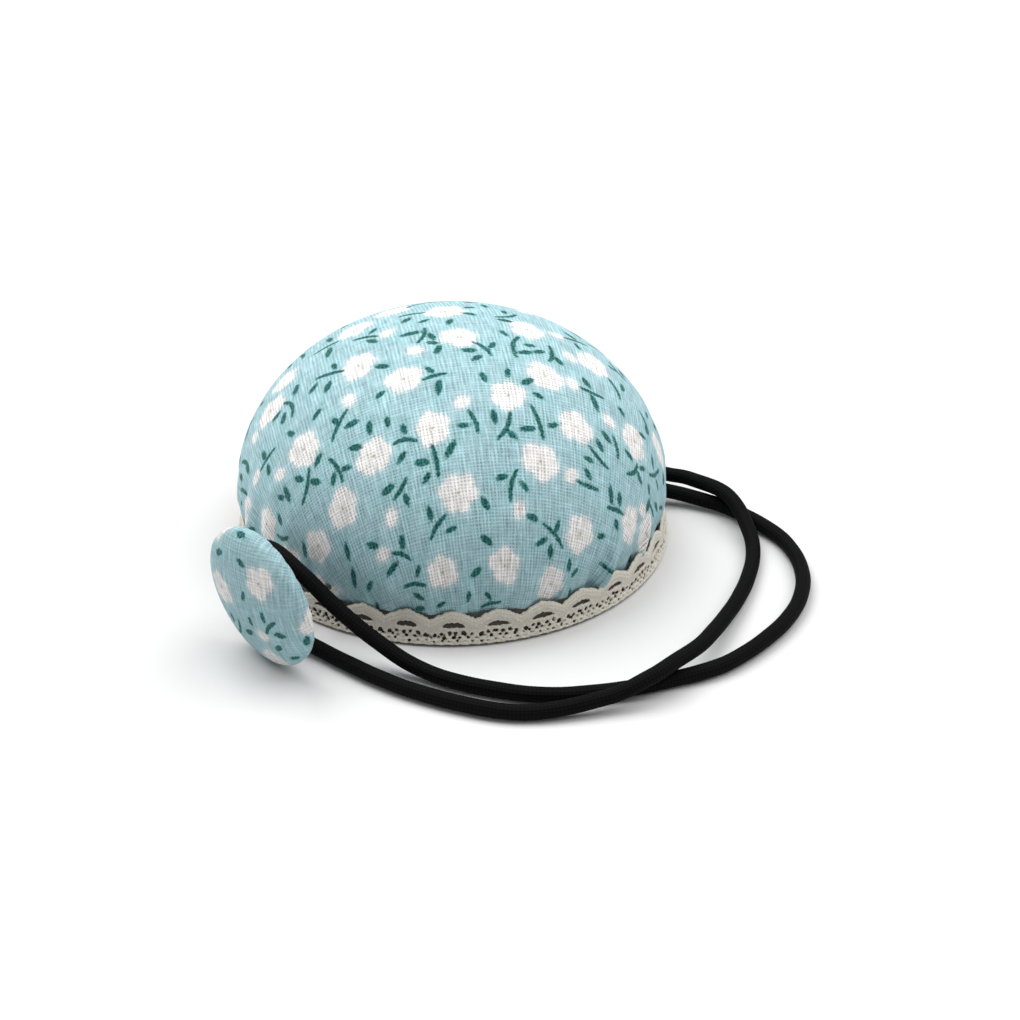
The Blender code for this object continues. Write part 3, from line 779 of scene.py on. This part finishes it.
def dome_profile():
    """Travel over the cloth from the crown, with the radius and height there (mm)."""
    angle = np.linspace(0, math.pi / 2, 600)
    radius = COVER_RADIUS * np.sin(angle)
    height = COVER_WIDEST + (COVER_HEIGHT - COVER_WIDEST) * np.cos(angle)
    tuck = smooth_points([(COVER_RADIUS, 0, COVER_WIDEST), *((r, 0, z) for r, z in TUCK)], 0.3)
    radius = np.concatenate([radius, tuck[1:, 0], [MOUTH[0]]])
    height = np.concatenate([height, tuck[1:, 2], [MOUTH[1]]])
    return travel_along(np.stack([radius, height], axis=1)), radius, height


DOME = dome_profile()
CLOTH_REACH = DOME[0][-1]


def cloth_travel(share):
    """Travel from the crown at a grid's share of the radius, with most rings where the cloth shows."""
    return np.interp(share, (0, SEEN_SHARE, 1), (0, SEEN_ARC, CLOTH_REACH))


def on_dome(travel, angle, lift=0.0):
    """Places in mm on the dome, moved out along its normal by lift."""
    def rise(column):
        return np.interp(travel + step, DOME[0], column) - np.interp(travel - step, DOME[0], column)

    step = 0.4
    slope_r, slope_z = rise(DOME[1]), rise(DOME[2])
    size = np.hypot(slope_r, slope_z)
    crown = travel < step
    out_r = np.where(crown, travel / COVER_RADIUS, -slope_z / size)
    out_z = np.where(crown, 1.0, slope_r / size)
    reach = np.interp(travel, DOME[0], DOME[1]) + out_r * lift
    return polar(reach, angle, np.interp(travel, DOME[0], DOME[2]) + out_z * lift)


def tightened_cover():
    """How far the cloth simulation lifts the cloth off the plain dome, on the simulation's grid (mm)."""
    share, angle, faces = disc_grid(SIM_CELLS)
    travel = cloth_travel(share)
    rng = np.random.default_rng(SEED)
    gather = smooth_step(travel, 36, FOOT_ARC)
    waves = uneven_wave(rng, angle, (17, 23, 29, 37, 43), 0.5, 1)
    start = on_dome(travel, angle, -0.9 + 0.16 * gather * waves)
    form = in_scene("cover_form", mesh_from("cover_form", start * MM * SIM_SCALE, faces))
    form.shape_key_add(name="Basis")
    cut = form.shape_key_add(name="cut")
    wide = start.copy()
    wide[:, :2] *= 1 + 0.075 * smooth_step(travel, 30, FOOT_ARC)[:, None]
    cut.data.foreach_set("co", (wide * MM * SIM_SCALE).astype(np.float32).ravel())
    held = form.vertex_groups.new(name="held")
    for index, weight in enumerate(smooth_step(travel, 55.5, 58)):
        if weight > 0:
            held.add([index], float(weight), "REPLACE")

    cloth = form.modifiers.new("cloth", "CLOTH")
    settings = cloth.settings
    settings.quality = 8
    settings.mass = 0.15
    settings.tension_stiffness = 25
    settings.compression_stiffness = 25
    settings.shear_stiffness = 8
    settings.bending_stiffness = 0.6
    settings.vertex_group_mass = "held"
    settings.rest_shape_key = cut
    settings.use_pressure = True
    settings.uniform_pressure_force = 4
    settings.effector_weights.gravity = 0
    cloth.collision_settings.use_collision = False
    cloth.point_cache.frame_start = 1
    cloth.point_cache.frame_end = SIM_FRAMES
    scene = bpy.context.scene
    for number in range(1, SIM_FRAMES + 1):
        scene.frame_set(number)

    shaped = form.evaluated_get(bpy.context.evaluated_depsgraph_get())
    places = np.zeros(len(share) * 3, np.float32)
    shaped.data.vertices.foreach_get("co", places)
    places = places.reshape(-1, 3) / (MM * SIM_SCALE)
    scene.frame_set(1)
    bpy.data.objects.remove(form)
    normal = on_dome(travel, angle, 1.0) - on_dome(travel, angle)
    lift = ((places - on_dome(travel, angle)) * normal).sum(1)
    crown = np.median(lift[travel < 45])
    return np.clip(lift - crown, -0.8, 0.9)


def creases(travel, angle, rng):
    """Gathers above the lace and the few deeper pleats (mm)."""
    def offset_from(place, lean):
        return within_half_turn(np.degrees(angle) - place - lean * (FOOT_ARC - travel))

    lift = np.zeros_like(travel)
    place = rng.uniform(0, 5)
    while place < 360:
        width = rng.uniform(1.1, 2.2)
        depth = rng.uniform(0.08, 0.30)
        start = rng.uniform(46, 52)
        offset = offset_from(place, rng.uniform(-0.12, 0.12))
        lift -= depth * np.exp(-(offset / width) ** 2) * smooth_step(travel, start, FOOT_ARC)
        place += rng.uniform(3.5, 8)
    for place, width, depth, start, lean in PLEATS:
        offset = offset_from(place, lean)
        fold = np.exp(-(np.maximum(offset, 0) / width) ** 2)
        fold = fold * np.exp(-(np.minimum(offset, 0) / (width * 0.3)) ** 2)
        hollow = 0.4 * np.exp(-((offset + width * 0.7) / width) ** 2)
        lift += depth * (fold - hollow) * smooth_step(travel, start, 55)
    return lift + 0.05 * smooth_step(travel, 44, FOOT_ARC) * np.sin(angle * 61 + travel)


def over_channel(places, low, high, top, squeeze):
    """Lifts what lies below high over the elastic's ends, where they leave the rim.

    What was at low comes to top, and what stood above it keeps that share, squeeze, of its height.
    """
    along = (math.cos(CHANNEL_ANGLE), math.sin(CHANNEL_ANGLE))
    across = -(places[:, 0] - CHANNEL_MIDDLE[0]) * along[1] + (places[:, 1] - CHANNEL_MIDDLE[1]) * along[0]
    half = CHANNEL_WIDTH / 2
    share = smooth_step(-np.abs(across), -half - 1.0, -half + 0.2) * (places[:, 0] > 0)
    raised = np.where(places[:, 2] < high, top + (places[:, 2] - low) * squeeze, places[:, 2])
    places[:, 2] += (raised - places[:, 2]) * share
    return places


def make_cover(cotton):
    """The printed cloth, tight over the stuffing and gathered in under the board."""
    share, angle, faces = disc_grid(COVER_CELLS)
    travel = cloth_travel(share)
    rng = np.random.default_rng(SEED)
    lift = creases(travel, angle, rng)
    lift = lift + widened(tightened_cover(), SIM_CELLS, COVER_CELLS)[:, 0]
    places = on_dome(travel, angle, lift * (1 - smooth_step(travel, FOOT_ARC, 60)))
    places = over_channel(places, low=0.9, high=4.5, top=4.45, squeeze=0.03)
    mesh = mesh_from("cotton_cover", places * MM, faces)
    cloth = polar(travel, angle, 0.0)
    store(mesh, "cloth", cloth)
    store(mesh, "print", print_on(cloth[:, 0], cloth[:, 1], *unseen_print(rng, 62)))
    cover = add_piece("cotton_cover", mesh, cotton, "cushion", ["fabric_cover"])


# ---- lace

def scallop_top(u, half):
    """Height of the lace's upper edge at a distance u from the middle of a scallop (mm)."""
    share = np.abs(u) / half
    hump = 0.5 * (1 - share) + 0.5 * np.cos(math.pi / 2 * share)
    return LACE_VALLEY + (LACE_PEAK - LACE_VALLEY) * hump


def lace_holes(rng):
    """Holes of one scallop: middle across and up, half width, half height, and its bend (mm)."""
    slit = (1.9, 0.40)
    holes = [(rng.uniform(-0.1, 0.1), LACE_BOTTOM + 3.45, slit[0] * rng.uniform(0.92, 1.05),
              slit[1] * rng.uniform(0.85, 1.15), 0.07)]
    small = []
    for number in range(HOLES_ACROSS):
        beside = number - (HOLES_ACROSS - 1) / 2
        odd = number % 2
        small.append((beside * 1.2, LACE_BOTTOM + 2.15 - 0.05 * beside ** 2, 0.37, 0.36))
        small.append(((beside - 0.5) * HOLE_STEP, LACE_BOTTOM + 1.4 + 0.1 * odd, 0.31, 0.25))
        small.append((beside * HOLE_STEP, LACE_BOTTOM + 0.75 + 0.08 * odd, 0.22, 0.17))
    for u, v, wide, high in small:
        u, v = u + rng.uniform(-0.16, 0.16), v + rng.uniform(-0.14, 0.14)
        holes.append((u, v, wide * rng.uniform(0.65, 1.2), high * rng.uniform(0.6, 1.15), 0))
    return holes


def make_lace():
    """Cotton lace round the foot: a strip of scallops with eyelets, as one grid cut to its outline."""
    width = 2 * math.pi * LACE_RADIUS / SCALLOPS
    columns = SCALLOPS * LACE_COLUMNS
    low, high = LACE_BOTTOM - 0.2, LACE_PEAK + 0.3
    rows = round((high - low) / LACE_CELL)
    rng = np.random.default_rng(SEED)
    across = (np.arange(columns) / LACE_COLUMNS % 1 - 0.5) * width
    azimuth = 2 * math.pi * (np.arange(columns) / LACE_COLUMNS - 0.5 + LACE_PHASE) / SCALLOPS
    u, azimuth, v = np.broadcast_arrays(across[:, None], azimuth[:, None], np.linspace(low, high, rows + 1))
    holes = [lace_holes(rng) for _ in range(SCALLOPS)]

    def hole_distance():
        """Distance from the nearest hole, below 0 in it (mm)."""
        nearest = np.full(u.shape, 9.0)
        for number in range(SCALLOPS):
            part = slice(number * LACE_COLUMNS, (number + 1) * LACE_COLUMNS)
            for beside in (-1, 0, 1):
                for x, y, wide, tall, bend in holes[(number + beside) % SCALLOPS]:
                    du = u[part] - x - beside * width
                    dv = v[part] - y + bend * du ** 2
                    reach = np.hypot(du / wide, dv / tall)
                    distance = (reach - 1) * np.hypot(du, dv) / np.maximum(reach, 1e-6)
                    nearest[part] = np.minimum(nearest[part], np.where(reach < 0.2, -tall * 0.8, distance))
        return nearest

    def slope(values, axis):
        if axis == 0:
            return (np.roll(values, -1, 0) - np.roll(values, 1, 0)) * LACE_COLUMNS / width / 2
        return np.gradient(values, (high - low) / rows, axis=1)

    uneven = 0.06 * np.sin(117 * azimuth + 1.7 * v) + 0.05 * np.sin(277 * azimuth - 4.1 * v)
    uneven += 0.04 * np.sin(491 * azimuth + 9 * v)
    edge = np.minimum((scallop_top(u, width / 2) - v) * 0.9, v - LACE_BOTTOM) + uneven
    eyelet = hole_distance() + uneven * 1.3
    depth = np.minimum(edge, eyelet)

    # The vertices just outside the outline move on to it, where the front meets the back
    kept = depth > 0
    beside = np.zeros_like(kept)
    for shift in (-1, 0, 1):
        turned = np.roll(kept, shift, 0)
        beside |= turned
        beside[:, 1:] |= turned[:, :-1]
        beside[:, :-1] |= turned[:, 1:]
    rim = beside & ~kept
    steep_u, steep_v = slope(depth, 0), slope(depth, 1)
    steep = np.maximum(steep_u ** 2 + steep_v ** 2, 0.3)
    travel = np.clip(np.where(rim, -depth / steep, 0), 0, 1.5 * LACE_CELL)
    angle = azimuth + steep_u * travel / LACE_RADIUS
    v = v + steep_v * travel
    depth = np.where(rim, 0, depth)

    # Relief of the corded edge, the holes' lips and the stitches
    rounded = np.sqrt(1 - (1 - np.clip(depth / 0.28, 0, 1)) ** 2)
    cord = np.exp(-((edge - 0.35) / 0.22) ** 2) + 0.7 * np.exp(-((edge - 0.95) / 0.2) ** 2)
    lip = np.exp(-((eyelet - 0.2) / 0.15) ** 2)
    stitch = np.sin(2 * math.pi * u / 0.62 + 1.3 * np.sin(v * 2.1)) * np.sin(2 * math.pi * v / 0.58)
    relief = 0.10 * cord * (1 + 0.35 * np.sin(2 * math.pi * u / 0.5)) + 0.07 * lip + 0.035 * stitch

    drift = rng.uniform(0, 6.3, 4)
    top = smooth_step(v, LACE_BOTTOM, LACE_PEAK)
    slack = 0.08 * np.sin(5 * angle + drift[0]) + 0.05 * np.sin(13 * angle + drift[1])
    rise = v + 0.10 * top * np.sin(7 * angle + drift[2]) + 0.07 * top * np.sin(17 * angle + drift[3])

    def placed(out):
        return polar(LACE_RADIUS - 0.2 + out + top * (slack - LACE_LEAN), angle, rise).reshape(-1, 3)

    index = np.arange(u.size).reshape(u.shape)
    mirror = np.where(rim, index, index + u.size)
    near = kept | np.roll(kept, -1, 0)
    cell = near[:, :-1] | near[:, 1:]
    faces = []
    for side in (index, mirror):
        turned = np.roll(side, -1, 0)
        faces.append(np.stack([side[:, :-1], turned[:, :-1], turned[:, 1:], side[:, 1:]], axis=-1)[cell])
    faces = np.concatenate([faces[0], faces[1][:, (0, 3, 2, 1)]])
    used = np.unique(faces)
    fresh = np.zeros(2 * u.size, int)
    fresh[used] = np.arange(len(used))
    places = np.concatenate([placed(rounded * (0.17 + relief)), placed(rounded * -0.12)])[used]
    ring = over_channel(places, low=LACE_BOTTOM, high=9, top=4.35, squeeze=0.5)
    mesh = mesh_from("crochet_lace", ring * MM, fresh[faces])
    # The front's relief, which the lace's colour reads for its painted shade and highlight.
    hollow = np.concatenate([(relief * rounded).ravel(), np.zeros(u.size)])[used]
    store(mesh, "relief", np.stack([hollow] * 3, axis=-1))
    add_piece("crochet_lace", mesh, lace_cotton(), "cushion", ["lace_trim"])


# ---- base

def make_pad():
    """The felt disc under the board, with a slightly uneven cut edge."""
    low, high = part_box("base_pad")
    radius, top = high.x / MM, high.z / MM
    thick = 0.6
    profile = (  # share of the radius, and height of thick
        (0.5, 0.0), (0.9, 0.0), (0.97, 0.0), (0.992, 0.03), (1.0, 0.16), (1.0, 0.44), (0.993, 0.57),
        (0.98, thick), (0.9, thick), (0.5, thick))
    turns = 360
    angle = around(turns)
    ragged = 1 + 0.0022 * np.sin(23 * angle) + 0.0018 * np.sin(57 * angle + 1)
    ragged = ragged + 0.001 * np.sin(91 * angle + 2)
    rings = [polar(radius * share * (ragged if share > 0.95 else 1), angle, height / thick * top)
             for share, height in profile]
    places = np.concatenate([*rings, [[0, 0, 0], [0, 0, top]]])
    step = np.arange(turns)
    after = (step + 1) % turns
    last = (len(rings) - 1) * turns
    middle = np.full(turns, len(rings) * turns)
    under = np.stack([after, step, middle], axis=1).tolist()
    upper = np.stack([last + step, last + after, middle + 1], axis=1).tolist()
    mesh = mesh_from("felt_pad", places * MM, [*ring_faces(turns, len(rings)).tolist(), *under, *upper])
    felt = fuzzy("dark_felt", (0.020, 0.020, 0.023), (0.075, 0.075, 0.080), scale=4.0)
    add_piece("felt_pad", mesh, felt, "cushion", ["base_pad"])


def make_band():
    """A dark felt strip behind the lace that also paints the shade in the gap there, with a frayed upper edge
    that is highest at the front.
    """
    low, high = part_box("rim_band")
    bottom, outer = low.z / MM, high.x / MM
    turns, rows = 720, 14
    angle = around(turns)
    rng = np.random.default_rng(SEED + 5)
    fray = uneven_wave(rng, angle, (9, 21, 47, 83, 131), 0.02, 0.07)
    from_front = np.abs(within_half_turn(np.degrees(angle) - BAND_FRONT))
    top = high.z / MM + 0.25 + fray - 0.75 * smooth_step(from_front, 22, 50)
    up = np.arange(rows) / (rows - 1)
    rings = []
    for inset, shares in ((0, up), (BAND_THICKNESS, up[::-1])):
        for share in shares:
            height = bottom + (top - bottom) * share
            reach = outer - inset + 0.03 * np.sin(angle * 90 + share * 9)
            rings.append(polar(reach - 0.45 * smooth_step(height, 2.8, 5.0), angle, height))
    ring = over_channel(np.concatenate(rings), low=bottom, high=9, top=4.4, squeeze=0.28)
    mesh = mesh_from("felt_shade_band", ring * MM, ring_faces(turns, len(rings), closed=True))
    # Dark brown felt colour, which paints the shade in the gap behind the lace.
    felt = fuzzy("painted_shade_felt", (0.034, 0.030, 0.026), (0.12, 0.108, 0.092), scale=3.0)
    add_piece("felt_shade_band", mesh, felt, "cushion", ["rim_band"])


# ---- button

def button_frame():
    face = Vector(JOINTS["button_spin"]["axis"]).normalized()
    level = Vector((-face.y, face.x, 0)).normalized()
    return Matrix((level, face.cross(level), face)).transposed(), BUTTON_CENTRE


def to_world(places):
    """Places in mm in the button's frame, as world places in metres."""
    turn, centre = button_frame()
    return np.asarray(places) * MM @ np.array(turn).T + np.array(centre)


def make_button_cloth(cotton):
    """The cloth over the button, drawn in behind its rim in small gathers."""
    rise_angle = np.linspace(0, math.pi / 2, 200)
    face = np.stack([BUTTON_RADIUS * np.sin(rise_angle) ** 0.92, BUTTON_CROWN * np.cos(rise_angle)], axis=1)
    lip = smooth_points(((BUTTON_RADIUS, 0, 0), (11.98, 0, -0.85), (11.55, 0, -1.55), (10.9, 0, -1.88),
                         (9.7, 0, -1.9)), 0.1)
    profile = np.concatenate([face, lip[1:, (0, 2)]])
    travel = travel_along(profile)
    share, angle, faces = disc_grid(BUTTON_CELLS)
    cloth_radius = travel[-1]
    along = share * cloth_radius
    reach = np.interp(along, travel, profile[:, 0])
    rise = np.interp(along, travel, profile[:, 1])
    back = smooth_step(along, cloth_radius - 3.2, cloth_radius - 0.6)
    pleat = np.abs(np.sin(angle * 13 + 0.6 * np.sin(angle * 3))) ** 0.6 - 0.6
    rise = rise - back * pleat * 0.28 + 0.05 * np.sin(3 * angle) * smooth_step(along, 3, 10)
    mesh = mesh_from("button_cover", to_world(polar(reach - back * pleat * 0.1, angle, rise)), faces)
    cloth = polar(along, angle, 0.0)
    store(mesh, "cloth", cloth + (90, 0, 0))
    stretch = BUTTON_PRINT * (1.0 + 0.055 * share ** 2)
    motifs = [[(x / BUTTON_PRINT, y / BUTTON_PRINT, *rest) for x, y, *rest in group]
              for group in (BUTTON_FLOWERS, BUTTON_BUDS, BUTTON_STEMS, BUTTON_LEAVES)]
    store(mesh, "print", print_on(cloth[:, 0] / stretch, cloth[:, 1] / stretch, *motifs))
    piece = add_piece("button_cover", mesh, cotton, "button", ["button_fabric"])


def turned_piece(profile, turns):
    """Places and faces of a closed profile of (radius, height) points turned about the button's axis."""
    places = np.concatenate([polar(radius, around(turns), height) for radius, height in profile])
    return places, ring_faces(turns, len(profile), closed=True)[:, (1, 0, 3, 2)]


def make_button_metal():
    """The back plate, with a raised ring round its hole, and the shell, which stays the CAD node's."""
    plate = (
        (10.35, -0.62), (10.4, -0.75), (10.35, -1.05), (10.2, -1.12), (7.6, -1.1), (7.2, -1.32), (6.4, -1.34),
        (5.9, -1.12), (3.6, -1.1), (3.2, -1.22), (2.92, -1.12), (2.9, -0.7), (3.0, -0.6), (10.2, -0.6))
    places, faces = turned_piece(plate, 128)
    mesh = mesh_from("back_plate", to_world(places), faces)
    tin = pressed_metal("pressed_aluminium", (0.80, 0.80, 0.81), roughness=0.34, scale=1.2)
    add_piece("back_plate", mesh, tin, "button", ["button_backplate"])
    mesh.set_sharp_from_angle(angle=math.radians(40))
    dress("button_shell", tin)


def make_shank():
    """The bent wire that stands out of the back plate."""
    bend, depth = 1.7, 3.7
    leg = [(0, 3.7, 0.15), (0, 2.6, 0.15), (0, 2.0, -0.1)]
    leg += [(0, bend, -0.9), (0, bend, -2.2), (0, bend, -depth)]
    eye = [(0, bend * math.cos(a), -depth - bend * math.sin(a)) for a in np.linspace(0, math.pi, 9)[1:-1]]
    route = smooth_points([*leg, *eye, *((x, -y, z) for x, y, z in reversed(leg))], 0.12)
    wire = tube_mesh("bent_wire", to_world(route), 0.4 * MM, sides=20)
    steel = pressed_metal("bright_wire", (0.62, 0.62, 0.63), roughness=0.28, scale=2.0)
    add_piece("bent_wire", wire, steel, "shank", ["wire_shank"])


def make_button_thread(dark_thread):
    """Two strands of sewing thread, twisted together, from the cushion through the wire eye and back."""
    turn, _ = button_frame()
    level = turn @ Vector((1, 0, 0))
    back = (THREAD_ANCHOR - SHANK_EYE).normalized()
    inward = -Vector((THREAD_ANCHOR.x, THREAD_ANCHOR.y, 0)).normalized()
    root = THREAD_ANCHOR + inward * THREAD_ROOT
    wide, narrow = 1.25 * MM, 0.65 * MM

    def leg(side):
        """From inside the cover, over the swing axis and out to the wire."""
        return [
            root + level * side * narrow / 2,
            THREAD_ANCHOR + level * side * narrow,
            THREAD_ANCHOR.lerp(SHANK_EYE, 0.5) + level * side * (wide + narrow) / 2,
            SHANK_EYE + level * side * wide + back * 1.3 * MM,
            SHANK_EYE + level * side * wide + back * 0.5 * MM,
            SHANK_EYE + level * side * 0.95 * MM + back * 0.05 * MM,
        ]

    step, lay, strand_offset = 0.07, 1.6, 0.16  # mm; lay is a strand's travel in one turn round the other
    route = smooth_points([*leg(1), SHANK_EYE, *reversed(leg(-1))], step * MM)
    across, other = carried_frames(route)
    twist = np.arange(len(route)) * step / lay * 2 * math.pi
    for number, start in (("a", 0.0), ("b", math.pi)):
        cosine, sine = np.cos(twist + start)[:, None], np.sin(twist + start)[:, None]
        strand = route + strand_offset * MM * (across * cosine + other * sine)
        mesh = tube_mesh(f"shank_thread_{number}", strand, 0.175 * MM, sides=10)
        add_piece(f"shank_thread_{number}", mesh, dark_thread, "thread",
                  ["button_thread"] if number == "a" else ())


def make_anchor(dark_thread):
    """A handful of stitches that hold the button's thread to the cover."""
    azimuth = math.atan2(THREAD_ANCHOR.y, THREAD_ANCHOR.x)
    c, s = math.cos(azimuth), math.sin(azimuth)
    turn = np.array(((c, -s, 0), (s, c, 0), (0, 0, 1)))
    rng = np.random.default_rng(SEED + 3)
    for number in range(6):
        tilt = math.radians(30 * number) + rng.uniform(-0.15, 0.15)
        reach = rng.uniform(0.4, 0.55)
        proud = rng.uniform(0.1, 0.2)
        points = []
        for t in np.linspace(-1, 1, 5):
            out = COVER_RADIUS + 0.15 + proud * (1 - t * t) - 0.25 * abs(t) ** 3
            across, up = reach * t * math.cos(tilt), reach * t * math.sin(tilt)
            points.append((out, across, THREAD_ANCHOR.z / MM + up))
        strand = smooth_points(points, 0.1) @ turn.T * MM
        mesh = tube_mesh(f"anchor_stitch_{number + 1}", strand, 0.17 * MM, sides=8)
        add_piece(f"anchor_stitch_{number + 1}", mesh, dark_thread, "cushion",
                  ["anchor_stitches"] if number == 0 else ())


# ---- CAD nodes that stay

def dress_nodes():
    """Procedural materials for the CAD nodes that stay as they are."""
    fibre = fuzzy("polyester_fibre", (0.72, 0.72, 0.71), (0.93, 0.93, 0.92), scale=1.2, depth_mm=0.6)
    board = fuzzy("grey_board", (0.33, 0.31, 0.27), (0.50, 0.47, 0.42),
                  scale=2.2, depth_mm=0.05, roughness=0.85)
    thread = fuzzy("draw_thread", (0.70, 0.69, 0.65), (0.86, 0.85, 0.81),
                   scale=6.0, depth_mm=0.05, roughness=0.7)
    dress("fiber_stuffing", fibre)
    dress("base_board", board)
    dress("gathering_thread", thread)
    dress("strap_tape", woven_tape())


make_camera()
make_strap()
make_studio()
make_cover(printed_cotton("printed_cotton"))
make_lace()
make_pad()
make_band()
dark_thread = twisted_thread("dark_thread", (0.04, 0.05, 0.055), (0.12, 0.14, 0.15))
# The button's cloth is a darker copy of the cover's: painted shade for its face, which turns away from the
# lights, with the gaps of its weave darkened less.
make_button_cloth(printed_cotton("button_cotton_painted_shade", strength=0.82, painted_gap_shade=0.45))
make_button_metal()
make_shank()
make_button_thread(dark_thread)
make_anchor(dark_thread)
dress_nodes()
